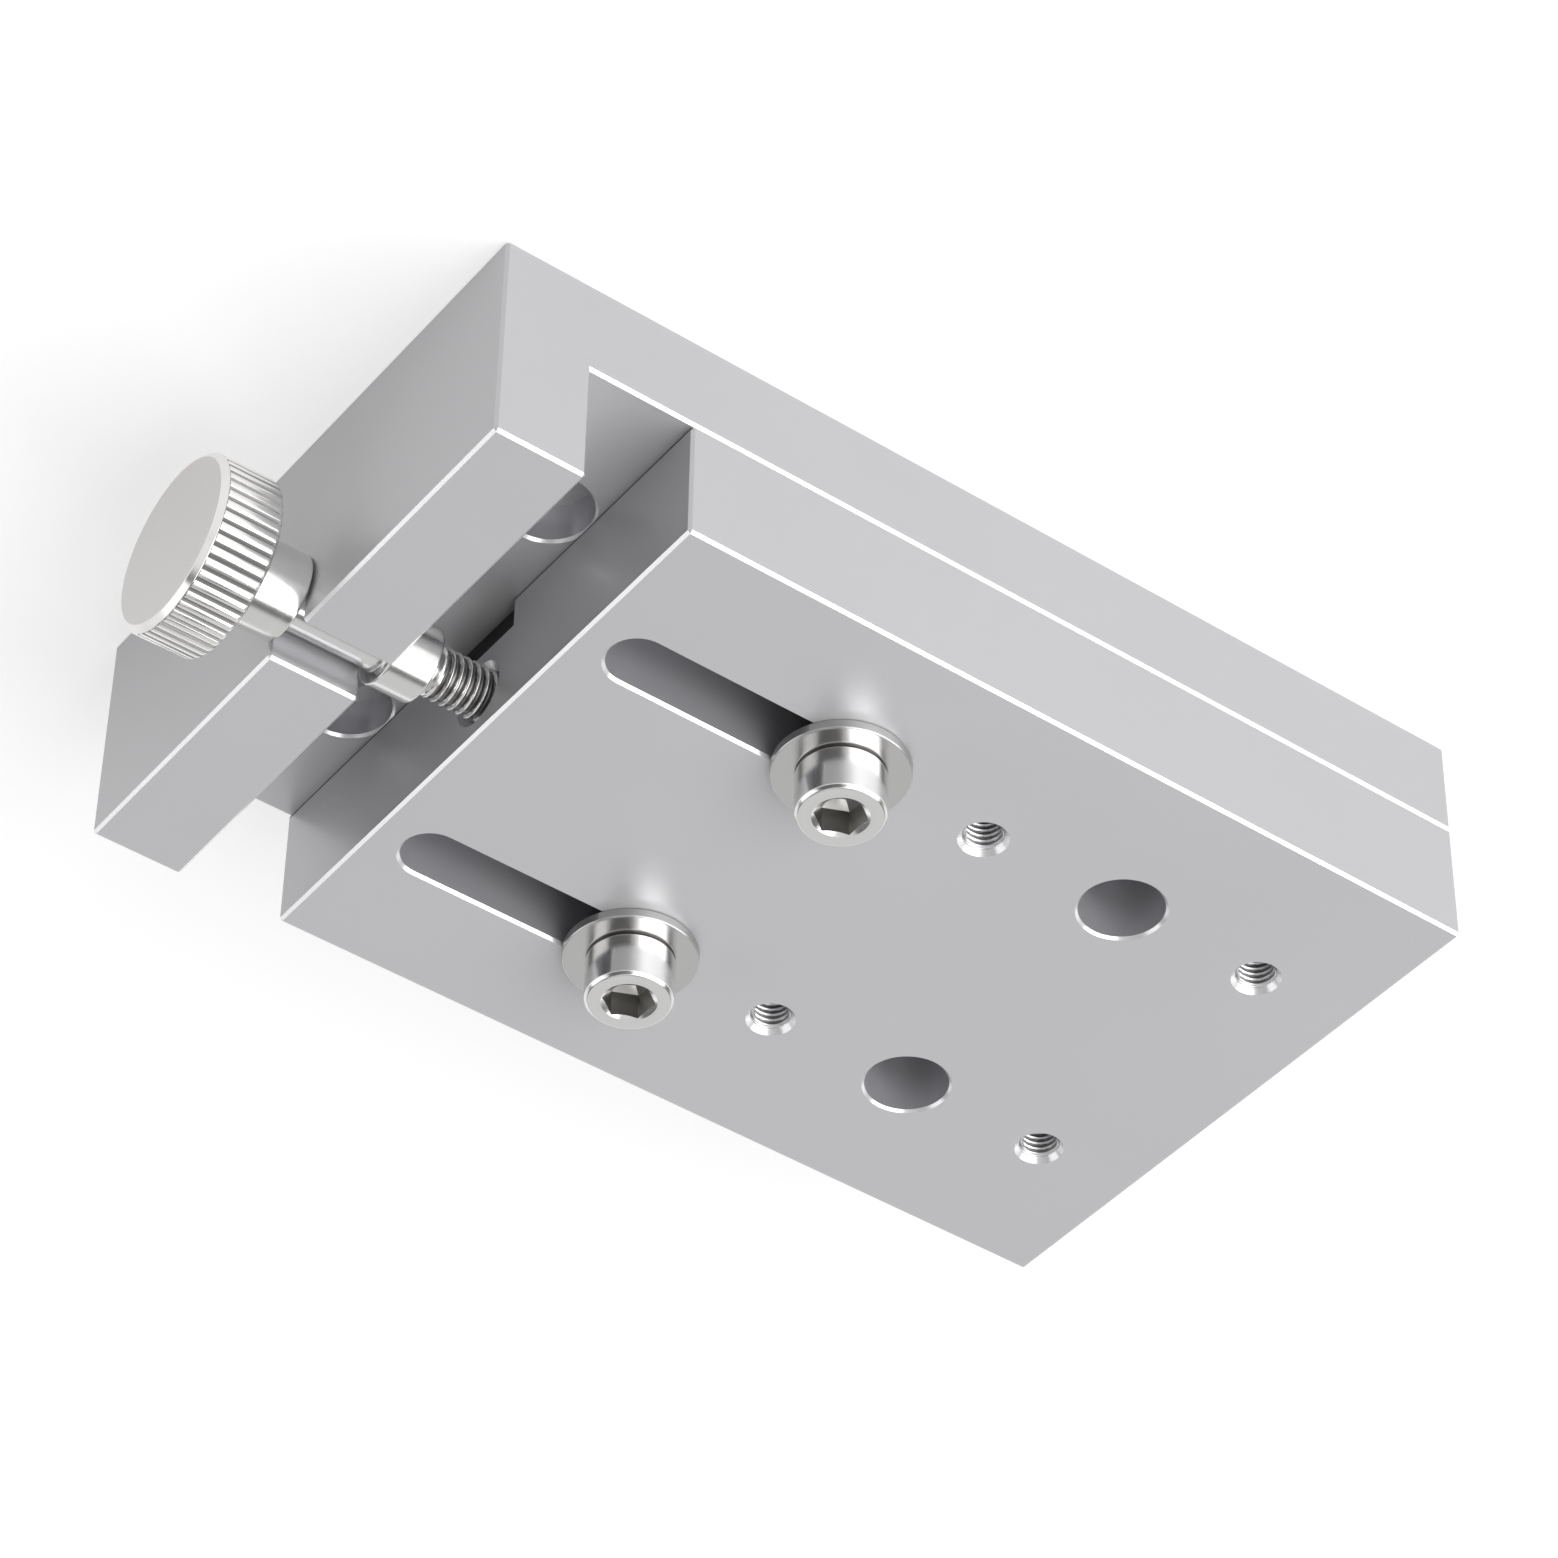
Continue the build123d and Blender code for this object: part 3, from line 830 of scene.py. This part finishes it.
def socket_parts(screw, side):
    """1 for the faces inside the socket's hexagon, below its countersink, which falls a little
    less than 0.6 mm for each millimetre inwards, and 2 for the head's underside and the shank.
    Both get darker steel as painted shade, for the shade in the socket and under the head.
    """
    x, y, z = face_middles(screw)
    out = np.hypot(x, y - clamp_side[side])
    deepest = head_top - 3.6
    mouth = head_top - 0.02 - (socket_mouth_radius - out) * 0.6
    corner_radius = socket_flats / 2 / math.cos(math.pi / 6)
    inside = (out < corner_radius + 0.01) & (z > deepest) & (z < mouth)
    below = (z < head_seat + 0.19) & (out < head_radius - 0.02)
    return inside + 2 * below


clamp_steel = turned_steel(
    "clamp_steel_polished", (0.76, 0.755, 0.75), (0.84, 0.835, 0.83), 12.0, 0.19, 0.23, 0.03
)
# Rougher forged steel for the socket, darkened as painted shade for the shade down inside it.
socket_shade_steel = grainy_metal(
    "forged_socket_shade", (0.38, 0.37, 0.36), (0.50, 0.49, 0.475), 0.26, 0.38, steel_scales
)
for side in clamp_side:
    screw = clamp_screw_surface(side)
    line_faces(screw, socket_parts(screw, side), (clamp_steel, socket_shade_steel, root_shade_steel))
    crisp_edges(screw)
    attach(screw, f"clamp_{side}")
    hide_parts(f"clamp_screw_{side}")

# Studio: a round white sweep for the stage to stand on, and five softboxes: a bright one beside
# the camera, a weaker one on its other side, one low down, one across from the camera and one
# overhead, with the room dark between them. The sweep's sizes are in metres.
sweep_flat, sweep_run, sweep_rise = 1.2, 1.8, 0.9
floor_gap = 0.05 * mm


def sweep_surface():
    """A round bowl: flat out to 1.2 m, then a quarter of an ellipse, 1.8 m long and 0.9 m high.

    With t from 0 to a quarter turn, the radius is 1.2 + 1.8 sin t and the height 0.9 (1 - cos t).
    """
    columns = 65
    bend = np.linspace(0, np.pi / 2, 17)
    out = np.concatenate(((0.0, sweep_flat / 2), sweep_flat + sweep_run * np.sin(bend)))[:, None]
    height = np.concatenate(((0.0, 0.0), sweep_rise * (1 - np.cos(bend))))[:, None] - floor_gap
    turn = np.linspace(0, 2 * np.pi, columns)
    places = np.broadcast_arrays(out * np.cos(turn), out * np.sin(turn), height)
    points = np.stack(places, axis=-1)
    first = (np.arange(len(out) - 1)[:, None] * columns + np.arange(columns - 1)).ravel()
    quads = np.stack((first, first + columns, first + columns + 1, first + 1), axis=1)
    mesh = bpy.data.meshes.new("floor")
    mesh.from_pydata(points.reshape(-1, 3).tolist(), [], quads.tolist())
    shell = bmesh.new()
    shell.from_mesh(mesh)
    bmesh.ops.remove_doubles(shell, verts=shell.verts, dist=1e-6)
    shell.to_mesh(mesh)
    shell.free()
    mesh.polygons.foreach_set("use_smooth", np.ones(len(mesh.polygons), bool))
    return mesh


def white_sweep():
    """Sweep paint: matt and pale grey, lifted for camera, glossy and transmission rays, so that
    it reads as white there while it keeps the stage's shadow. The lift grows from 0.57 near the
    stage to 0.95 a metre and a half away, where the lamps no longer reach.
    """
    material, nodes, links, paint = new_finish("white_sweep", 0.0)
    paint.inputs["Base Color"].default_value = (0.50, 0.50, 0.50, 1)
    paint.inputs["Roughness"].default_value = 1.0
    paint.inputs["Specular IOR Level"].default_value = 0.0
    paint.inputs["Emission Color"].default_value = (1, 1, 1, 1)
    rays = nodes.new("ShaderNodeLightPath")
    seen = rays.outputs["Is Camera Ray"]
    for other in ("Is Glossy Ray", "Is Transmission Ray"):
        either = add_node(nodes, "ShaderNodeMath", operation="MAXIMUM")
        links.new(seen, either.inputs[0])
        links.new(rays.outputs[other], either.inputs[1])
        seen = either.outputs["Value"]
    place = nodes.new("ShaderNodeTexCoord")
    away = add_node(nodes, "ShaderNodeVectorMath", operation="LENGTH")
    growth = {"From Min": 0.25, "From Max": 1.5, "To Min": 0.57, "To Max": 0.95}
    grow = add_node(nodes, "ShaderNodeMapRange", growth)
    lift = add_node(nodes, "ShaderNodeMath", operation="MULTIPLY")
    links.new(place.outputs["Object"], away.inputs[0])
    links.new(away.outputs["Value"], grow.inputs["Value"])
    links.new(grow.outputs["Result"], lift.inputs[1])
    links.new(seen, lift.inputs[0])
    links.new(lift.outputs["Value"], paint.inputs["Emission Strength"])
    return material


floor = bpy.data.objects.new("floor", sweep_surface())
bpy.context.scene.collection.objects.link(floor)
floor.data.materials.append(white_sweep())

world = bpy.data.worlds.new("room")
bpy.context.scene.world = world
world.use_nodes = True
room = world.node_tree.nodes["Background"]
room.inputs["Color"].default_value = (1, 1, 1, 1)
room.inputs["Strength"].default_value = 0.12


def direction(azimuth, elevation):
    """The way from the stage towards an azimuth from +X and an elevation, both in degrees."""
    a, e = math.radians(azimuth), math.radians(elevation)
    return Vector((math.cos(a) * math.cos(e), math.sin(a) * math.cos(e), math.sin(e)))


def softbox(name, azimuth, elevation, distance, width, height, radiance):
    """A rectangular lamp that faces the stage's middle; its power is radiance * pi * area."""
    stage_middle = Vector((0, 0, 0.01))
    lamp = bpy.data.lights.new(name, "AREA")
    lamp.shape = "RECTANGLE"
    lamp.size, lamp.size_y = width, height
    lamp.energy = radiance * math.pi * width * height
    box = bpy.data.objects.new(name, lamp)
    away = direction(azimuth, elevation)
    box.location = away * distance + stage_middle
    box.rotation_euler = away.to_track_quat("Z", "Y").to_euler()
    box.visible_camera = False
    bpy.context.scene.collection.objects.link(box)


# Azimuth and elevation are in degrees, and distance, width and height in metres.
softbox("softbox_right", 62, 47, 0.6, 0.68, 0.56, 3.0)
softbox("softbox_fill", 96, 24, 0.7, 0.60, 0.48, 1.3)
softbox("softbox_left", 210, 30, 0.6, 0.42, 0.32, 1.35)
softbox("softbox_back", 306, 43, 0.6, 0.86, 0.62, 0.59)
softbox("softbox_top", 170, 75, 0.6, 0.40, 0.40, 0.6)

# The camera stands beside the knob's end, above the table, and is rolled by half a turn.
view_place = (-167.653, 235.331, 269.059)
view_azimuth, view_elevation, view_roll = 126.0771, 41.8656, -179.1257
camera_data = bpy.data.cameras.new("camera")
camera_data.sensor_width = 36.0
camera_data.lens = 125.65
camera_data.clip_start = 0.01
camera = bpy.data.objects.new("camera", camera_data)
level_view = direction(view_azimuth, view_elevation).to_track_quat("Z", "Y").to_matrix()
rolled_view = level_view @ Matrix.Rotation(math.radians(view_roll), 3, "Z")
camera.matrix_world = Matrix.Translation(Vector(view_place) * mm) @ rolled_view.to_4x4()
bpy.context.scene.collection.objects.link(camera)
bpy.context.scene.camera = camera
bpy.context.scene.view_settings.view_transform = "Standard"
